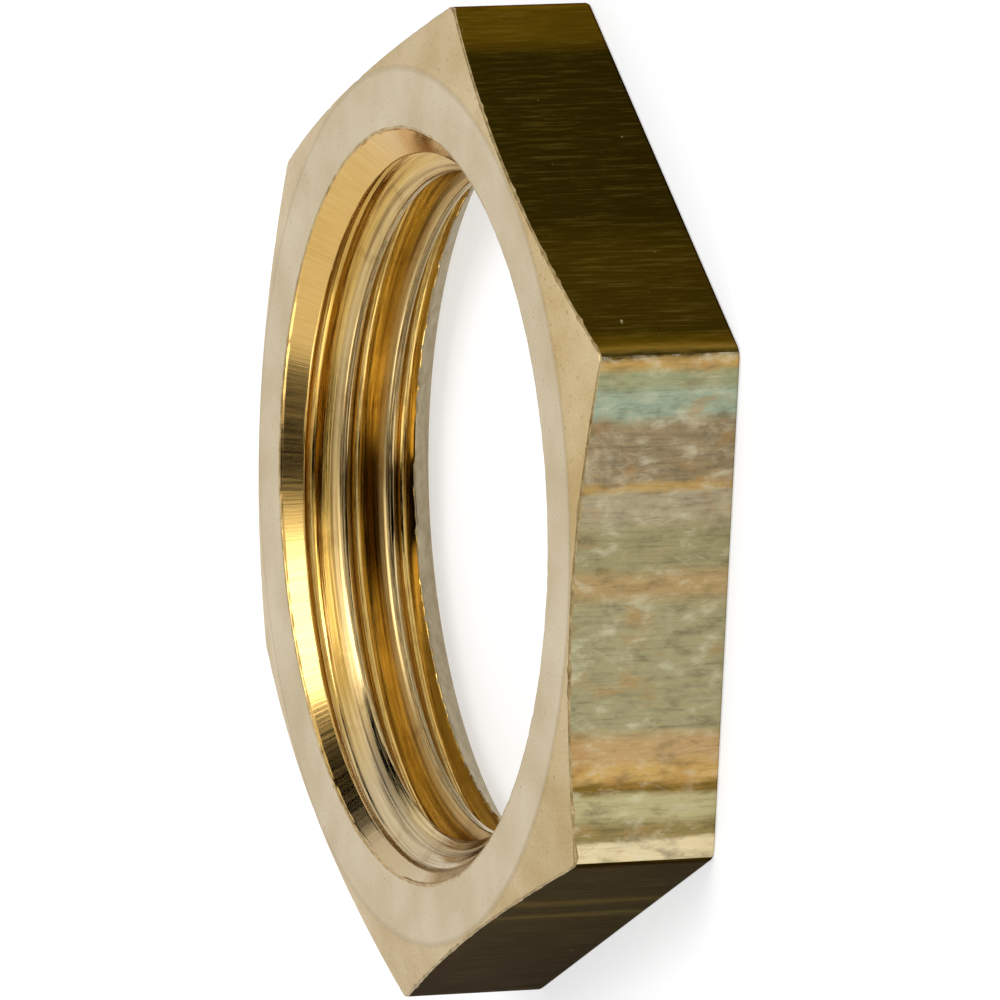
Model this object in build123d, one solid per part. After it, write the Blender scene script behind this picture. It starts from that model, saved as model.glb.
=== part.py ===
from build123d import *
from build123d.topology import SkipClean
import os
from math import ceil, cos, radians, tan

# Brass hexagonal locknut for a G 3/4 parallel pipe thread, turned from drawn hexagon bar.
# The origin is the centre of the flat back face, +Z runs along the thread to the coned front face,
# and two corners of the hexagon lie on the X axis. Lengths are in millimetres, angles in degrees.

# Right-hand pipe thread of Whitworth form with flat crests, its roots left flat where the real ones are rounded.
# The start angle is where, about +Z, the middle of the groove runs out through the back face.
thread_major_diameter = 26.441
thread_pitch = 1.8143
thread_flank_angle = 27.5
thread_start_angle = 190.0

# Hexagon bar, 32 across flats. The wall is the metal from the thread's roots to the middle of a flat.
flat_count = 6
wall_behind_thread = 2.7795
bar_corner_radius = 0.5
thickness = 6.0

# Turned front face: a flat ring that stops just short of the flats, then a shallow cone
front_ring_inset = 0.15
front_cone_angle = 15.0

# Back face, left flat, with only its sharp outer edge broken
back_edge_break = 0.12

# Countersinks, each opening a little wider than the thread's roots, with their full angles
front_sink_margin = 0.48
front_sink_angle = 86.0
back_sink_margin = 0.73
back_sink_angle = 100.0

# Sizes that follow. The sharp thread form loses a sixth of its height at the crests and at the roots.
sector_angle = 360 / flat_count
flank = radians(thread_flank_angle)
thread_truncation = thread_pitch / (2 * tan(flank)) / 6
major_radius = thread_major_diameter / 2
minor_radius = major_radius - 4 * thread_truncation
flat_distance = major_radius + wall_behind_thread
corner_distance = flat_distance / cos(radians(sector_angle / 2))
front_ring_radius = flat_distance - front_ring_inset


def hexagon_blank():
    """A slice of hexagon bar, bored through, the bore's wall drawn as one arc for each flat."""
    bar = RegularPolygon(flat_distance, flat_count, major_radius=False)
    bar = fillet(bar.vertices(), bar_corner_radius)
    bore_arcs = [
        CenterArc((0, 0), minor_radius, index * sector_angle, sector_angle)
        for index in range(flat_count)
    ]
    return extrude(bar - make_face(Wire(bore_arcs)), thickness, clean=False)


def turned_envelope():
    """What the lathe leaves of the outside: a flat back, a flat front ring and the cone behind it."""
    cone_drop = (corner_distance - front_ring_radius) * tan(radians(front_cone_angle))
    outline = Polyline(
        (0, 0),
        (corner_distance, 0),
        (corner_distance, thickness - cone_drop),
        (front_ring_radius, thickness),
        (0, thickness),
        close=True,
    )
    return revolve(Plane.XZ * make_face(outline), Axis.Z)


def countersink(margin, full_angle):
    """A countersink cutter that points down, its mouth on the XY plane."""
    mouth_radius = major_radius + margin
    outline = Polyline(
        (0, -mouth_radius / tan(radians(full_angle / 2))),
        (mouth_radius, 0),
        (0, 0),
        close=True,
    )
    return revolve(Plane.XZ * make_face(outline), Axis.Z)


def groove_section():
    """The groove cut through on a plane along the axis: a flat root, and flanks that run into the bore."""
    root_half = thread_truncation * tan(flank)
    open_radius = minor_radius - thread_truncation / 2
    open_half = root_half + (major_radius - open_radius) * tan(flank)
    outline = Polyline(
        (open_radius, -open_half),
        (major_radius, -root_half),
        (major_radius, root_half),
        (open_radius, open_half),
        close=True,
    )
    return Plane.XZ * make_face(outline)


def thread_groove():
    """The groove from below the back face to above the front: short helical steps sewn end to end."""
    step_rise = thread_pitch / flat_count
    path = Helix(thread_pitch, step_rise, major_radius)
    step = sweep(groove_section(), path, is_frenet=True)
    ends = step.faces().filter_by(GeomType.PLANE).sort_by(Axis.Y)
    sides = step.faces().filter_by(GeomType.PLANE, reverse=True)
    places = [
        Pos(0, 0, index * step_rise) * Rot(0, 0, thread_start_angle + index * sector_angle)
        for index in range(-flat_count, ceil((thickness + thread_pitch) / step_rise))
    ]
    skin = [place * side for place in places for side in sides]
    skin.append(places[0] * ends[0])
    skin.append(places[-1] * ends[-1])
    return Solid(Shell(skin))


def locknut():
    """The whole nut as one solid, its faces left unmerged so that each crest stays a row of short arcs."""
    with SkipClean():
        nut = hexagon_blank() & turned_envelope()
        back_face = nut.faces().sort_by(Axis.Z)[0]
        nut = chamfer(back_face.outer_wire().edges(), back_edge_break)
        nut -= thread_groove()
        nut -= Pos(0, 0, thickness) * countersink(front_sink_margin, front_sink_angle)
        nut -= Rot(180, 0, 0) * countersink(back_sink_margin, back_sink_angle)
    return nut


os.makedirs("parts", exist_ok=True)
export_step(locknut(), "parts/locknut.step")
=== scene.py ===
import math
import bpy
import numpy as np
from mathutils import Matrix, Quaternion, Vector


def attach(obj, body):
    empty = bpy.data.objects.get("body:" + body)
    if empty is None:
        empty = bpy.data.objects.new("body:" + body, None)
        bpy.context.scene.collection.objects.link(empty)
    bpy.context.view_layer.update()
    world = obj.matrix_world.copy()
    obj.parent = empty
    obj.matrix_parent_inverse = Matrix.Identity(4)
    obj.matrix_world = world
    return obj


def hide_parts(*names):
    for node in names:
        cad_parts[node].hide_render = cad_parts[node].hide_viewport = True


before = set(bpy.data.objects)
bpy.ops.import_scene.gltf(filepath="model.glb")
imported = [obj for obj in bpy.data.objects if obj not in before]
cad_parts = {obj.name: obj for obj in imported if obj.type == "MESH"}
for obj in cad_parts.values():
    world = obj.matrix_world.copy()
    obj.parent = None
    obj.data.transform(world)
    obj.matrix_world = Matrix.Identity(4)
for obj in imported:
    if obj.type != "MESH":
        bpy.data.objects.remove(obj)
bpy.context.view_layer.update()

MM_PER_METRE = 1000.0
FULL_TURN = 2 * math.pi

# Sizes of the nut in millimetres, the same as those of its solid. A sector is in degrees.
THICKNESS = 6.0
FLAT_COUNT = 6
SECTOR = 60
FLAT_DISTANCE = 16.0
BAR_CORNER = 0.5
RING_RADIUS = 15.85
CONE_SLOPE = math.tan(math.radians(15))
BACK_BREAK = 0.12
PITCH = 1.8143
MAJOR_RADIUS = 13.2205
FLANK = math.radians(27.5)
THREAD_DEPTH = 0.640327 * PITCH
THREAD_START = math.radians(190)
FRONT_MOUTH = MAJOR_RADIUS + 0.48
FRONT_SLOPE = math.tan(math.radians(43))
BACK_MOUTH = MAJOR_RADIUS + 0.73
BACK_SLOPE = math.tan(math.radians(50))

# Small forms that the solid leaves out, in millimetres
ROOT_ROUNDING = 0.137329 * PITCH
CREST_BLEND = 0.12
SINK_BLEND = 0.05
EDGE_BREAK = 0.045
TEAR = 0.05
TEAR_RISE = 0.5

# How far the thread's finish falls back in each radian, where its last groove runs out into the countersink
RUN_OUT = 1.02

# Columns of the skin at each corner and along each flat, and rows over each face
CORNER_COLUMNS = 7
FLAT_COLUMNS = 76
RING_ROWS = 8
CONE_ROWS = 7
FLAT_ROWS = 14
BACK_ROWS = 6

# Rows at the mouths: how far out from the mouth, how far in from the face, and the finish
FRONT_MOUTH_ROWS = ((-0.05, 0.03, "burr"), (0.02, 0.004, "burr"), (0.055, 0.0, "faced"))
BACK_MOUTH_ROWS = ((0.045, 0.0, "faced"), (0.006, 0.004, "back_sink"))

# Rows round the cone's outer edge: how far in and how far up, as shares of the edge's break
EDGE_ROWS = ((0.966, 0.259), (0.24, -0.18), (0.0, -1.0))

# Heights of the rows up the bore
BORE_HEIGHTS = np.concatenate(
    [np.linspace(0.035, 0.56, 10), np.linspace(0.6, 5.72, 112), np.linspace(5.76, 5.94, 4)]
)

chance = np.random.default_rng(14)


# The nut's shape
def hexagon_columns():
    """Angles round the nut and the hexagon's radius at each, in close steps round every corner."""
    angles = []
    radii = []
    half_sector = math.radians(SECTOR / 2)
    centre = (FLAT_DISTANCE - BAR_CORNER) / math.cos(half_sector)
    for sector in range(FLAT_COUNT):
        corner = math.radians(SECTOR * sector)
        for bend in np.radians(np.linspace(-SECTOR / 2, SECTOR / 2, CORNER_COLUMNS)):
            along = centre + BAR_CORNER * math.cos(bend)
            aside = BAR_CORNER * math.sin(bend)
            turn = math.atan2(aside, along)
            angles.append(corner + turn)
            radii.append(math.hypot(along, aside))
        for step in np.linspace(turn, math.radians(SECTOR) - turn, FLAT_COLUMNS)[1:-1]:
            angles.append(corner + step)
            radii.append(FLAT_DISTANCE / math.cos(step - half_sector))
    return np.array(angles), np.array(radii)


def larger(a, b, blend):
    """The larger of two radii, with the sharp edge where they cross slightly rounded."""
    share = np.clip(0.5 + 0.5 * (a - b) / blend, 0, 1)
    return b + (a - b) * share + blend * share * (1 - share)


def thread_radius(angle, height):
    """Radius of the thread's surface: flat crests, rounded roots, one pitch up in each right-hand turn."""
    crest = PITCH * (angle - THREAD_START) / FULL_TURN + PITCH / 2
    off_crest = np.abs((height - crest + PITCH / 2) % PITCH - PITCH / 2)
    off_root = PITCH / 2 - off_crest
    minor = MAJOR_RADIUS - THREAD_DEPTH
    crest_half = PITCH / 12
    flank = minor + (off_crest - crest_half) / math.tan(FLANK)
    root_arc = MAJOR_RADIUS - ROOT_ROUNDING + np.sqrt(np.maximum(ROOT_ROUNDING**2 - off_root**2, 0))
    grooved = np.where(off_root < ROOT_ROUNDING * math.cos(FLANK), root_arc, flank)
    return larger(grooved, minor, CREST_BLEND)


def nicks(angles, count, width, depth):
    """Small dents at chance places round an edge."""
    total = np.zeros_like(angles)
    for _ in range(count):
        place = chance.uniform(0, FULL_TURN)
        away = (angles - place + math.pi) % FULL_TURN - math.pi
        size = chance.uniform(0.3, 1.0)
        total = np.maximum(total, depth * size * np.exp(-((away / (width * size)) ** 2)))
    return total


def ragged(angles, waves, depth):
    """An uneven edge: waves round the nut that start at chance places."""
    total = np.zeros_like(angles)
    for wave in waves:
        total += np.sin(angles * wave + chance.uniform(0, FULL_TURN))
    return depth * total / len(waves)


def outer_rows(angles, hexagon):
    """Rows of radius, height and finish over the outside, from the front mouth to the back mouth."""
    burr = ragged(angles, waves=(23, 57, 101), depth=0.016) + nicks(angles, count=40, width=0.01, depth=0.04)
    rows = [(FRONT_MOUTH + out + burr, THICKNESS - drop, finish) for out, drop, finish in FRONT_MOUTH_ROWS]
    ring_start = FRONT_MOUTH + 0.13
    ring_end = RING_RADIUS - 0.05
    for radius in np.linspace(ring_start, ring_end, RING_ROWS):
        rows.append((radius, THICKNESS, "faced"))
    seam_drop = 0.003
    rows.append((RING_RADIUS, THICKNESS - seam_drop, "faced"))

    edge = EDGE_BREAK + nicks(angles, count=90, width=0.01, depth=0.08)
    cone_start = RING_RADIUS + 0.04
    cone_end = hexagon - edge - 0.025
    for share in np.linspace(0, 1, CONE_ROWS):
        radius = cone_start + share * (cone_end - cone_start)
        rows.append((radius, THICKNESS - (radius - RING_RADIUS) * CONE_SLOPE, "cone"))
    top = THICKNESS - (hexagon - RING_RADIUS) * CONE_SLOPE
    for inward, rise in EDGE_ROWS:
        rows.append((hexagon - edge * inward, top + edge * rise, "edge"))

    flat_top = top - edge - 0.03
    flat_bottom = BACK_BREAK + 0.03
    for share in np.linspace(0, 1, FLAT_ROWS):
        rows.append((hexagon, flat_top + share * (flat_bottom - flat_top), "flat"))
    rows.append((hexagon, BACK_BREAK, "flat"))
    rounding = BACK_BREAK * 0.3
    rows.append((hexagon - rounding, rounding, "flat"))
    rows.append((hexagon - BACK_BREAK, 0, "faced"))

    back_start = hexagon - BACK_BREAK - 0.05
    back_end = BACK_MOUTH + 0.1
    for share in np.linspace(0, 1, BACK_ROWS):
        rows.append((back_start + share * (back_end - back_start), 0, "faced"))
    rows += [(BACK_MOUTH + out, rise, finish) for out, rise, finish in BACK_MOUTH_ROWS]
    return rows


def bore_rows(angles):
    """Rows of radius, height and finish up the bore: the thread, cut by the two countersinks."""
    torn = ragged(angles, waves=(19, 43, 71, 97), depth=TEAR) + chance.uniform(-TEAR, TEAR, len(angles))
    turn = (angles - THREAD_START) % FULL_TURN
    last_root = np.maximum(2 * PITCH + PITCH * turn / FULL_TURN, 3 * PITCH - RUN_OUT * turn)
    rows = []
    for height in BORE_HEIGHTS:
        front = FRONT_MOUTH - (THICKNESS - height) * FRONT_SLOPE
        back = BACK_MOUTH - height * BACK_SLOPE - torn * min(1, height / TEAR_RISE)
        cone = np.maximum(front, back)
        thread = thread_radius(angles, height)
        finish = np.where(height > last_root, "sink", "thread")
        finish = np.where(back > front, "back_sink", finish)
        finish = np.where(cone > thread, finish, "thread")
        rows.append((larger(thread, cone, SINK_BLEND), height, finish))
    return rows


def nut_mesh():
    """One closed skin: columns round the axis, rows round the section. Also gives each face's finish."""
    angles, hexagon = hexagon_columns()
    rows = outer_rows(angles, hexagon) + bore_rows(angles)
    count = len(angles)
    radius = np.array([np.broadcast_to(values, count) for values, _, _ in rows])
    height = np.array([np.broadcast_to(values, count) for _, values, _ in rows])
    points = np.stack([radius * np.cos(angles), radius * np.sin(angles), height], axis=-1)
    past_corner = 0.001
    flats = [f"flat_{int(math.degrees(angle + past_corner) // SECTOR) % FLAT_COUNT}" for angle in angles]
    faces = []
    finishes = []
    for index, (_, _, finish) in enumerate(rows):
        here = index * count
        after = (index + 1) % len(rows) * count
        finish = np.broadcast_to(finish, count)
        for column in range(count):
            beside = (column + 1) % count
            faces.append((here + column, after + column, after + beside, here + beside))
            finishes.append(flats[column] if finish[column] == "flat" else finish[column])
    mesh = bpy.data.meshes.new("locknut_brass")
    mesh.from_pydata((points.reshape(-1, 3) / MM_PER_METRE).tolist(), [], faces)
    mesh.update()
    return mesh, finishes


# Colours
def tone(red, green, blue):
    """A colour written as it looks on a screen, 0 to 255, as the renderer takes it."""
    parts = [value / 255 for value in (red, green, blue)]
    return [p / 12.92 if p <= 0.04045 else ((p + 0.055) / 1.055) ** 2.4 for p in parts] + [1.0]


BLACK = (0, 0, 0, 1)
WHITE = (1, 1, 1, 1)
FLOOR_GREY = (0.6, 0.6, 0.6, 1)

# Marks on the turned faces and in the bore, and the painted grey reflection on the countersink and in the
# first groove
FACE_SPECK = tone(120, 96, 56)
FACE_SEAM = tone(150, 122, 76)
PAINTED_REFLECTION_SINK = tone(184, 168, 136)
PAINTED_REFLECTION_GROOVE = tone(188, 172, 140)
GROOVE_STAIN = tone(140, 102, 42)
GROOVE_LINE_DARK = tone(92, 62, 18)
GROOVE_LINE_PALE = tone(246, 226, 172)

# Marks on the flats
STREAK_DARK = tone(48, 38, 18)
STREAK_PALE = tone(176, 150, 88)
BLOT_PALE = tone(196, 180, 148)
BLOT_RUST = tone(172, 128, 70)
MOTTLE_DARK = tone(92, 84, 58)
MOTTLE_PALE = tone(216, 208, 178)
SCRATCH_PALE = tone(214, 200, 160)
SPECK_PALE = tone(206, 190, 150)

# Tarnish on the flats, and the tint of their metal seen edge on. The olive and brown tones are tarnish
# darkened further as a painted reflection of dark surroundings.
DARK_RIM = tone(120, 108, 88)
PALE_RIM = tone(166, 160, 150)
OLIVE_DARK = tone(46, 38, 8)
OLIVE_DEEP = tone(58, 46, 10)
OLIVE_MIDDLE = tone(62, 49, 10)
OLIVE = tone(84, 65, 14)
OLIVE_LIGHT = tone(122, 96, 36)
BROWN_BLACK = tone(46, 38, 22)
BROWN_DARK = tone(63, 58, 41)
BROWN_STREAK = tone(98, 86, 56)
AMBER = tone(184, 150, 88)
GREEN = tone(151, 154, 116)
TEAL = tone(152, 166, 142)
BROWN_GREY = tone(144, 127, 97)
PALE = tone(166, 154, 124)
SAGE = tone(152, 144, 106)
RUST = tone(172, 146, 100)
SAGE_PALE = tone(158, 151, 114)
SALMON = tone(186, 154, 106)
GOLDEN = tone(198, 162, 96)
STRAW = tone(182, 172, 126)
DRAB = tone(142, 126, 78)
CREAM = tone(226, 208, 164)

# Tarnish bands: a place across the flat in millimetres and the colour there. The olive and brown sets are
# tarnish made dark as a painted reflection of dark surroundings.
OLIVE_BANDS_PAINTED_DARK = [
    (-9.2, OLIVE_LIGHT),
    (-8.9, OLIVE),
    (-7.4, OLIVE),
    (-6.4, OLIVE_DARK),
    (2.0, OLIVE_DARK),
    (4.0, OLIVE_MIDDLE),
    (8.0, OLIVE_DEEP),
    (8.6, OLIVE),
    (8.9, OLIVE_LIGHT),
    (9.2, OLIVE_DARK),
]
BANDED = [
    (-9.2, OLIVE_DARK),
    (-9.0, AMBER),
    (-8.8, AMBER),
    (-8.5, GREEN),
    (-8.1, GREEN),
    (-7.8, TEAL),
    (-7.1, TEAL),
    (-6.7, BROWN_GREY),
    (-4.7, BROWN_GREY),
    (-4.4, AMBER),
    (-4.2, PALE),
    (-3.4, PALE),
    (-2.9, SAGE),
    (-1.6, SAGE),
    (-1.1, RUST),
    (-0.6, RUST),
    (-0.1, SAGE_PALE),
    (4.3, SAGE_PALE),
    (4.8, SALMON),
    (5.4, SALMON),
    (5.8, GOLDEN),
    (6.2, GOLDEN),
    (6.4, OLIVE_LIGHT),
    (6.6, OLIVE_LIGHT),
    (6.9, STRAW),
    (7.5, STRAW),
    (7.9, DRAB),
    (8.35, DRAB),
    (8.5, CREAM),
    (9.2, CREAM),
]
BROWN_BANDS_PAINTED_DARK = [
    (-9.2, OLIVE_DARK),
    (-8.6, BROWN_DARK),
    (-4.5, BROWN_DARK),
    (-3.9, BROWN_STREAK),
    (-3.3, BROWN_DARK),
    (-2.5, BROWN_DARK),
    (-2.1, BROWN_STREAK),
    (-1.6, BROWN_DARK),
    (9.2, BROWN_BLACK),
]

# Half the width across a flat that the bands are spread over, in millimetres
BAND_REACH = 9.4

# Each flat from +X round: the angle it faces, its bands, its edge tint and whether it is stained. The flats
# at 30, 150, 210 and 330 degrees take bands made dark as a painted reflection of dark surroundings.
FLATS = [
    (30, OLIVE_BANDS_PAINTED_DARK, DARK_RIM, False),
    (90, BANDED, DARK_RIM, True),
    (150, BROWN_BANDS_PAINTED_DARK, PALE_RIM, False),
    (210, BROWN_BANDS_PAINTED_DARK, PALE_RIM, False),
    (270, BANDED, DARK_RIM, True),
    (330, OLIVE_BANDS_PAINTED_DARK, DARK_RIM, False),
]
DRAWN_ROUGHNESS = 0.34

# Leans of the two families of scratches on a stained flat, in radians, and their strengths
SCRATCHES = ((0.35, 0.16), (-0.5, 0.14))

# Steps that set the noises of one flat apart
BLOT_STEP = 20
RUST_STEP = 40
MOTTLE_STEP = 60
SPECK_STEP = 100

# Angles round the axis, in radians, between which the bore's finish changes, and between which the painted
# grey reflection comes in and goes out
FIRST_GROOVE_STARTS = (-0.4, 0.0)
GILT_ENDS = (2.3, 2.7)
GROOVE_REFLECTION_STARTS = (2.35, 2.75)
SINK_REFLECTION_STARTS = (2.65, 2.95)
PAINTED_REFLECTION_ENDS = (3.6, 4.2)


# Materials
class Finish:
    """A metal material and the nodes that shape it."""

    def __init__(self, name, colour, roughness, edge_tint=WHITE):
        self.material = bpy.data.materials.new(name)
        self.material.use_nodes = True
        self.tree = self.material.node_tree
        self.shader = self.tree.nodes["Principled BSDF"]
        self.shader.inputs["Metallic"].default_value = 1.0
        self.shader.inputs["Base Color"].default_value = colour
        self.shader.inputs["Roughness"].default_value = roughness
        self.shader.inputs["Specular Tint"].default_value = edge_tint

    def add(self, kind, inputs, output=0, **settings):
        """A node with its inputs set or linked. Returns the output asked for."""
        node = self.tree.nodes.new(kind)
        for name, value in settings.items():
            setattr(node, name, value)
        for key, value in inputs.items():
            if isinstance(value, bpy.types.NodeSocket):
                self.tree.links.new(value, node.inputs[key])
            else:
                node.inputs[key].default_value = value
        return node.outputs[output]

    def place(self):
        """The point on the nut, in millimetres."""
        point = self.add("ShaderNodeTexCoord", {}, output="Object")
        return self.add("ShaderNodeVectorMath", {0: point, 3: MM_PER_METRE}, operation="SCALE")

    def parts(self, vector):
        return self.add("ShaderNodeSeparateXYZ", {0: vector}).node.outputs

    def vector(self, x, y, z=0.0):
        return self.add("ShaderNodeCombineXYZ", {0: x, 1: y, 2: z})

    def noise(self, vector, scale=1.0, detail=3.0, rough=0.5):
        return self.add(
            "ShaderNodeTexNoise", {"Vector": vector, "Scale": scale, "Detail": detail, "Roughness": rough}
        )

    def math(self, operation, a, b=0.0, c=0.0):
        return self.add("ShaderNodeMath", {0: a, 1: b, 2: c}, operation=operation)

    def times(self, a, b):
        return self.math("MULTIPLY", a, b)

    def times_plus(self, a, b, c):
        return self.math("MULTIPLY_ADD", a, b, c)

    def turn(self, x, y):
        """The angle round the axis from +X, which jumps at -Y, from 270 degrees to -90."""
        past_y = self.math("ARCTAN2", self.times(x, -1.0), y)
        return self.math("ADD", past_y, math.pi / 2)

    def ramp(self, factor, stops):
        """A colour ramp from (position, colour) pairs."""
        socket = self.add("ShaderNodeValToRGB", {"Fac": factor})
        elements = socket.node.color_ramp.elements
        while len(elements) < len(stops):
            elements.new(0.5)
        for element, (position, colour) in zip(elements, stops):
            element.position = position
            element.color = colour
        return socket

    def spread(self, value, span, to_span):
        """A value carried from one span to another, and held at its ends."""
        low, high = span
        to_low, to_high = to_span
        return self.add("ShaderNodeMapRange", {0: value, 1: low, 2: high, 3: to_low, 4: to_high})

    def mix(self, share, a, b):
        return self.add("ShaderNodeMix", {0: share, 6: a, 7: b}, output=2, data_type="RGBA")

    def tint(self, colour, towards, value, span, most):
        """A colour carried towards another as a value runs through a span, by the share given at most."""
        return self.mix(self.spread(value, span, (0, most)), colour, towards)

    def use(self, socket, name):
        self.tree.links.new(socket, self.shader.inputs[name])

    def bump(self, height, distance):
        """Relief in millimetres."""
        relief = self.add("ShaderNodeBump", {"Height": height, "Distance": distance / MM_PER_METRE})
        self.use(relief, "Normal")


def faced_brass(name, light, dark, roughness):
    """Turned brass with a matt grain, faint rings from the tool, scattered specks and a darker seam."""
    finish = Finish(name, light, roughness)
    place = finish.place()
    flat_place = finish.add("ShaderNodeVectorMath", {0: place, 1: (1, 1, 0)}, operation="MULTIPLY")
    radius = finish.add("ShaderNodeVectorMath", {0: flat_place}, output="Value", operation="LENGTH")
    rings = finish.noise(finish.vector(radius, 0.0), scale=14.0, detail=4.0, rough=0.6)
    grain = finish.noise(place, scale=11.0, detail=5.0, rough=0.75)
    clouds = finish.noise(place, scale=0.35)
    share = finish.times_plus(clouds, 0.9, finish.times(grain, 0.6))
    colour = finish.tint(light, dark, share, (0.56, 0.92), most=1)
    specks = finish.noise(place, scale=5.5, detail=2.0)
    colour = finish.tint(colour, FACE_SPECK, specks, (0.66, 0.74), most=0.45)
    from_seam = finish.math("ABSOLUTE", finish.math("SUBTRACT", radius, RING_RADIUS))
    colour = finish.tint(colour, FACE_SEAM, from_seam, (0.16, 0.02), most=0.3)
    finish.use(colour, "Base Color")
    finish.use(finish.spread(grain, (0.3, 0.7), (roughness - 0.05, roughness + 0.07)), "Roughness")
    finish.bump(finish.times_plus(rings, 0.5, grain), distance=0.022)
    return finish.material


def worn_brass(name, light, dark, roughness):
    """A burred or rubbed edge, patched with darker metal."""
    finish = Finish(name, light, roughness)
    patches = finish.noise(finish.place(), scale=1.8, detail=4.0, rough=0.7)
    finish.use(finish.tint(light, dark, patches, (0.34, 0.68), most=1), "Base Color")
    finish.bump(patches, distance=0.02)
    return finish.material


def countersunk_brass(name, light, dark, roughness):
    """Bright brass with a painted grey reflection in one place, and fine chatter marks that run straight
    across the countersink.
    """
    finish = Finish(name, light, roughness)
    x, y, z = finish.parts(finish.place())
    turn = finish.turn(x, y)
    chatter = finish.noise(finish.vector(finish.times(turn, 95.0), finish.times(z, 0.4)))
    patches = finish.noise(finish.vector(finish.times(turn, 14.0), z), detail=4.0)
    share = finish.times_plus(patches, 0.5, chatter)
    colour = finish.tint(light, dark, share, (0.6, 1.0), most=0.3)
    # Painted grey reflection: over one span of angles round the axis the countersink's colour turns paler and
    # greyer.
    painted_reflection = finish.times(finish.spread(turn, SINK_REFLECTION_STARTS, (0, 0.75)), finish.spread(turn, PAINTED_REFLECTION_ENDS, (1, 0)))
    finish.use(finish.mix(painted_reflection, colour, PAINTED_REFLECTION_SINK), "Base Color")
    finish.use(finish.spread(chatter, (0.3, 0.7), (roughness - 0.04, roughness + 0.05)), "Roughness")
    finish.bump(chatter, distance=0.003)
    return finish.material


def threaded_brass(name, crest, flank, root, mouth, roughness):
    """Cut thread: bright crests and roots, a matt strip above each crest, and fine lines along the groove.

    The groove nearest the front has a tone of its own, the mouth's, and a painted grey reflection in one
    place.
    """
    finish = Finish(name, crest, roughness)
    place = finish.place()
    x, y, z = finish.parts(place)
    turn = finish.turn(x, y)
    first_crest = PITCH / 2 - PITCH * THREAD_START / FULL_TURN
    climb = finish.times_plus(turn, -PITCH / FULL_TURN, finish.math("SUBTRACT", z, first_crest))
    off_crest = finish.math("PINGPONG", climb, PITCH / 2)
    around = finish.add("ShaderNodeVectorMath", {0: place, 1: (0.09, 0.09, 0)}, operation="MULTIPLY")
    x_slow, y_slow, _ = finish.parts(around)
    lines = finish.noise(finish.vector(x_slow, y_slow, finish.times(off_crest, 10.0)), detail=4.0, rough=0.65)
    wander = finish.times_plus(finish.math("SUBTRACT", lines, 0.5), 0.25, off_crest)
    colour = finish.ramp(
        finish.math("DIVIDE", wander, PITCH / 2),
        [(0.0, crest), (0.14, crest), (0.2, flank), (0.34, flank), (0.5, root), (1.0, root)],
    )

    first_groove = finish.times(
        finish.spread(climb, (2 * PITCH + 0.1, 2 * PITCH + 0.25), (0, 1)),
        finish.spread(turn, FIRST_GROOVE_STARTS, (0, 1)),
    )
    gilded = finish.times(first_groove, finish.spread(turn, GILT_ENDS, (1, 0)))
    gilded = finish.times(gilded, finish.spread(off_crest, (0.3, 0.5), (0, 1)))
    colour = finish.mix(gilded, colour, mouth)
    # Painted grey reflection: over one span of angles round the axis the first groove's colour turns paler
    # and greyer.
    painted_reflection = finish.times(first_groove, finish.spread(turn, GROOVE_REFLECTION_STARTS, (0, 0.8)))
    painted_reflection = finish.times(painted_reflection, finish.spread(turn, PAINTED_REFLECTION_ENDS, (1, 0)))
    colour = finish.mix(painted_reflection, colour, PAINTED_REFLECTION_GROOVE)

    stains = finish.noise(place, scale=0.7, detail=4.0, rough=0.6)
    colour = finish.tint(colour, GROOVE_STAIN, stains, (0.52, 0.75), most=0.5)
    colour = finish.tint(colour, GROOVE_LINE_DARK, lines, (0.5, 0.66), most=0.65)
    colour = finish.tint(colour, GROOVE_LINE_PALE, lines, (0.46, 0.34), most=0.4)
    finish.use(colour, "Base Color")

    crest_place = 0.1
    matt = finish.ramp(
        finish.math("FRACT", finish.times_plus(climb, 1 / PITCH, crest_place)),
        [(0.16, BLACK), (0.19, WHITE), (0.25, WHITE), (0.33, BLACK)],
    )
    matt = finish.times_plus(matt, 0.26, roughness)
    finish.use(finish.times_plus(lines, 0.08, matt), "Roughness")
    finish.bump(lines, distance=0.016)
    return finish.material


def stain(finish, colour, across, height, angle):
    """A flat's colour with pale and rusty blots, mottling and thin scratches over it."""
    blots = finish.noise(finish.vector(across, height, angle + BLOT_STEP), scale=0.75, detail=5.0, rough=0.65)
    colour = finish.tint(colour, BLOT_PALE, blots, (0.54, 0.7), most=0.5)
    rust_place = finish.vector(across, finish.times(height, 0.5), angle + RUST_STEP)
    rust = finish.noise(rust_place, scale=0.9, detail=4.0, rough=0.6)
    colour = finish.tint(colour, BLOT_RUST, rust, (0.56, 0.7), most=0.55)
    mottle_place = finish.vector(across, finish.times(height, 0.45), angle + MOTTLE_STEP)
    mottle = finish.noise(mottle_place, scale=1.7, detail=4.0, rough=0.6)
    colour = finish.tint(colour, MOTTLE_DARK, mottle, (0.52, 0.7), most=0.55)
    colour = finish.tint(colour, MOTTLE_PALE, mottle, (0.46, 0.3), most=0.45)
    for lean, strength in SCRATCHES:
        beside = finish.times_plus(height, -math.sin(lean), finish.times(across, math.cos(lean)))
        along = finish.times_plus(height, math.cos(lean), finish.times(across, math.sin(lean)))
        thin = finish.vector(finish.times(beside, 8.0), finish.times(along, 0.7), lean)
        scratches = finish.noise(thin, detail=2.0)
        colour = finish.tint(colour, SCRATCH_PALE, scratches, (0.64, 0.76), most=strength)
    return colour


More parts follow.
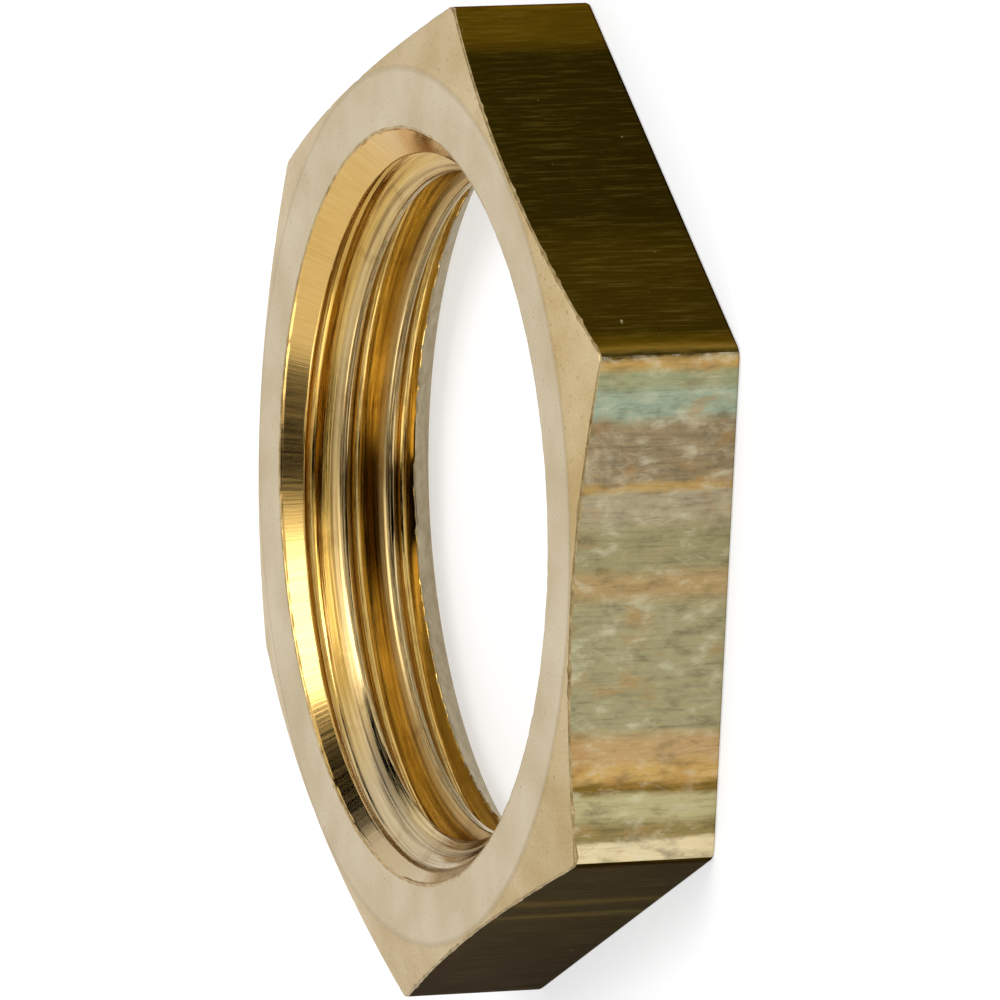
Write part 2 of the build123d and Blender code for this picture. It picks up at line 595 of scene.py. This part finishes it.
def drawn_brass(name, angle, bands, roughness, edge_tint, stained):
    """A flat of the drawn bar: tarnish in bands, on some flats made dark as a painted reflection, fine
    streaks along the axis, and perhaps stains.
    """
    finish = Finish(name, bands[0][1], roughness, edge_tint)
    place = finish.place()
    turn = math.radians(angle)
    across = finish.add(
        "ShaderNodeVectorMath",
        {0: place, 1: (math.sin(turn), -math.cos(turn), 0)},
        output="Value",
        operation="DOT_PRODUCT",
    )
    height = finish.parts(place)[2]
    slow = finish.vector(across, finish.times(height, 0.3), angle)
    fine = finish.vector(across, finish.times(height, 0.05), angle)
    wander = finish.math("SUBTRACT", finish.noise(slow, scale=1.4, detail=5.0, rough=0.65), 0.5)
    shifted = finish.times_plus(wander, 0.6, across)
    # Painted reflection: the olive and brown band sets are tarnish made dark to stand for the reflection of
    # dark surroundings.
    colour = finish.ramp(
        finish.spread(shifted, (-BAND_REACH, BAND_REACH), (0, 1)),
        [((reach + BAND_REACH) / (2 * BAND_REACH), band) for reach, band in bands],
    )
    streaks = finish.noise(fine, scale=8.0, detail=5.0, rough=0.75)
    colour = finish.tint(colour, STREAK_DARK, streaks, (0.5, 0.72), most=0.36)
    colour = finish.tint(colour, STREAK_PALE, streaks, (0.5, 0.28), most=0.3 if stained else 0.14)
    if stained:
        colour = stain(finish, colour, across, height, angle)
    specks = finish.noise(finish.vector(across, height, angle + SPECK_STEP), scale=2.6, detail=2.0)
    colour = finish.tint(colour, SPECK_PALE, specks, (0.74, 0.8), most=0.4)
    finish.use(colour, "Base Color")
    finish.use(finish.spread(streaks, (0.3, 0.7), (roughness - 0.06, roughness + 0.08)), "Roughness")
    finish.bump(streaks, distance=0.006)
    return finish.material


def dress(piece, finishes):
    """Gives every face the finish that its place on the nut calls for."""
    materials = {
        "faced": faced_brass("faced_brass", tone(210, 195, 166), tone(194, 176, 140), 0.42),
        "cone": faced_brass("turned_cone_brass", tone(206, 186, 146), tone(186, 160, 110), 0.4),
        "burr": worn_brass("burred_brass", tone(200, 176, 128), tone(150, 122, 74), 0.4),
        "edge": worn_brass("edge_brass", tone(190, 168, 122), tone(122, 98, 56), 0.4),
        "sink": countersunk_brass("countersunk_brass", tone(216, 178, 106), tone(172, 130, 54), 0.17),
        "back_sink": worn_brass("back_countersunk_brass", tone(190, 176, 144), tone(162, 146, 110), 0.45),
        "thread": threaded_brass(
            "threaded_brass",
            crest=tone(192, 167, 116),
            flank=tone(206, 176, 118),
            root=tone(212, 178, 100),
            mouth=tone(198, 159, 80),
            roughness=0.07,
        ),
    }
    for index, (angle, bands, edge_tint, stained) in enumerate(FLATS):
        materials[f"flat_{index}"] = drawn_brass(
            f"drawn_flat_{angle}", angle, bands, DRAWN_ROUGHNESS, edge_tint, stained
        )
    order = list(materials)
    for name in order:
        piece.data.materials.append(materials[name])
    piece.data.polygons.foreach_set("material_index", [order.index(finish) for finish in finishes])
    piece.data.polygons.foreach_set("use_smooth", [True] * len(finishes))
    piece.data.update()


mesh, finishes = nut_mesh()
nut = bpy.data.objects.new("locknut_brass", mesh)
bpy.context.scene.collection.objects.link(nut)
dress(nut, finishes)
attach(nut, "root")
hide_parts("locknut")

# The floor and the studio cards, in metres. The painted sheets are small cards just over the floor, inside
# the bore, that only reflections see: the black one is painted shade, the grey ones painted half shade and
# the glowing ones painted highlights.
FLOOR_HALF = 3.0
FLOOR_HEIGHT = -0.00002
CARD_HEIGHT = 0.2
PAINTED_SHEET_HEIGHT = 0.00002

# How strongly each card glows, from black at 0, and its corners
CARDS = {
    "card_above": (0.0, ((-0.068, 0.062), (-0.004, 0.062), (0.014, -0.11), (-0.105, -0.08))),
    "card_front": (0.0, ((-0.05, -0.11), (0.012, -0.11), (0.23, -0.72), (-0.155, -0.72))),
    "card_right": (0.0, ((0.1, 0.09), (0.14, 0.02), (0.46, 0.22), (0.36, 0.5))),
    "card_left": (1.0, ((-0.0695, 0.062), (-0.086, 0.0), (-0.55, 0.0), (-0.353, 0.421))),
}
# Painted shade and painted highlights: sheets on the floor inside the bore, black for shade, grey for half
# shade, glowing for highlights.
PAINTED_SHEETS = {
    "painted_shade_middle": (0.0, ((-0.004, 0.0124), (-0.0018, 0.0124), (0.0022, -0.011), (-0.0006, -0.011))),
    "painted_half_shade_left": (0.42, ((-0.0105, 0.0075), (-0.005, 0.0122), (-0.0046, 0.007), (-0.009, 0.003))),
    "painted_half_shade_right": (0.48, ((-0.0002, 0.0128), (0.0105, 0.0075), (0.009, 0.004), (0.0001, 0.007))),
    "painted_highlight_bright": (1.9, ((-0.0018, 0.012), (-0.0003, 0.012), (0.0, 0.007), (-0.0011, 0.007))),
    "painted_highlight_low": (1.6, ((-0.0052, 0.012), (-0.0041, 0.012), (-0.0034, 0.007), (-0.0047, 0.007))),
}

# The floor's own glow to the rays that see it, and the world's light to every ray and to those rays
FLOOR_GLOW = 0.56
WORLD_LIGHT = 0.5
WORLD_GLOW = 0.5


# Floor and surroundings
def combine(tree, operation, socket, other):
    """A maths node of a socket with another socket or a number."""
    node = tree.nodes.new("ShaderNodeMath")
    node.operation = operation
    tree.links.new(socket, node.inputs[0])
    if isinstance(other, bpy.types.NodeSocket):
        tree.links.new(other, node.inputs[1])
    else:
        node.inputs[1].default_value = other
    return node.outputs[0]


def bright_to_rays(tree, strength):
    """A value that is the strength given for camera, glossy and clear rays, and 0 for the rest."""
    path = tree.nodes.new("ShaderNodeLightPath").outputs
    seen = path["Is Camera Ray"]
    for name in ("Is Glossy Ray", "Is Transmission Ray"):
        seen = combine(tree, "MAXIMUM", seen, path[name])
    return combine(tree, "MULTIPLY", seen, strength)


def quad(name, corners, colour):
    """A flat four-sided sheet of the surroundings, with its shader."""
    mesh = bpy.data.meshes.new(name)
    mesh.from_pydata(corners, [], [(0, 1, 2, 3)])
    sheet = bpy.data.objects.new(name, mesh)
    bpy.context.scene.collection.objects.link(sheet)
    material = bpy.data.materials.new(name)
    material.use_nodes = True
    shader = material.node_tree.nodes["Principled BSDF"]
    shader.inputs["Base Color"].default_value = colour
    shader.inputs["Roughness"].default_value = 0.9
    shader.inputs["Specular IOR Level"].default_value = 0.0
    shader.inputs["Emission Color"].default_value = WHITE
    mesh.materials.append(material)
    return sheet, material.node_tree, shader


def white_floor(half, height):
    """A pale floor that looks white and still takes the nut's shadow."""
    corners = [(-half, -half, height), (half, -half, height), (half, half, height), (-half, half, height)]
    _, tree, shader = quad("floor", corners, FLOOR_GREY)
    tree.links.new(bright_to_rays(tree, FLOOR_GLOW), shader.inputs["Emission Strength"])


def card(name, corners, height, glow):
    """A level card, black or glowing, that only reflections see: studio cards overhead, and on the floor in
    the bore, sheets of painted shade and painted highlights.
    """
    sheet, _, shader = quad(name, [(x, y, height) for x, y in corners], BLACK)
    shader.inputs["Emission Strength"].default_value = glow
    sheet.visible_camera = False
    sheet.visible_shadow = False
    sheet.visible_diffuse = False


def lamp(name, place, size, power):
    """A soft square lamp that points at the nut."""
    data = bpy.data.lights.new(name, "AREA")
    data.size = size
    data.energy = power
    lamp_object = bpy.data.objects.new(name, data)
    bpy.context.scene.collection.objects.link(lamp_object)
    lamp_object.location = place
    lamp_object.rotation_euler = Vector(place).to_track_quat("Z", "Y").to_euler()


white_floor(FLOOR_HALF, FLOOR_HEIGHT)
for name, (glow, corners) in CARDS.items():
    card(name, corners, CARD_HEIGHT, glow)
# Painted shade and painted highlights on the floor inside the bore
for name, (glow, corners) in PAINTED_SHEETS.items():
    card(name, corners, PAINTED_SHEET_HEIGHT, glow)
lamp("softbox", place=(0.23, -0.07, 0.5), size=0.3, power=1.1)
lamp("strip", place=(0.075, 0.16, 0.5), size=0.16, power=0.1)
lamp("fill", place=(-0.35, -0.35, 0.35), size=0.3, power=0.5)

world = bpy.data.worlds.new("white")
bpy.context.scene.world = world
world.use_nodes = True
background = world.node_tree.nodes["Background"]
background.inputs["Color"].default_value = WHITE
world_strength = combine(world.node_tree, "ADD", bright_to_rays(world.node_tree, WORLD_GLOW), WORLD_LIGHT)
world.node_tree.links.new(world_strength, background.inputs["Strength"])

# Camera at the photograph's place, turned so that the nut's axis points left. Lengths are in metres.
AIM = Vector((-0.00012, 0.00083, 0.0022))
AZIMUTH = math.radians(-75.576)
ELEVATION = math.radians(20.878)
ROLL = math.radians(-92.478)
DISTANCE = 0.54566
SENSOR_WIDTH = 36
LENS_PER_SENSOR = 15.05
outward = Vector(
    (math.cos(ELEVATION) * math.cos(AZIMUTH), math.cos(ELEVATION) * math.sin(AZIMUTH), math.sin(ELEVATION))
)
camera_data = bpy.data.cameras.new("camera")
camera_data.sensor_width = SENSOR_WIDTH
camera_data.lens = SENSOR_WIDTH * LENS_PER_SENSOR
camera = bpy.data.objects.new("camera", camera_data)
bpy.context.scene.collection.objects.link(camera)
camera.location = AIM + DISTANCE * outward
camera.rotation_euler = (outward.to_track_quat("Z", "Y") @ Quaternion((0, 0, 1), ROLL)).to_euler()
bpy.context.scene.camera = camera
bpy.context.scene.view_settings.view_transform = "Standard"
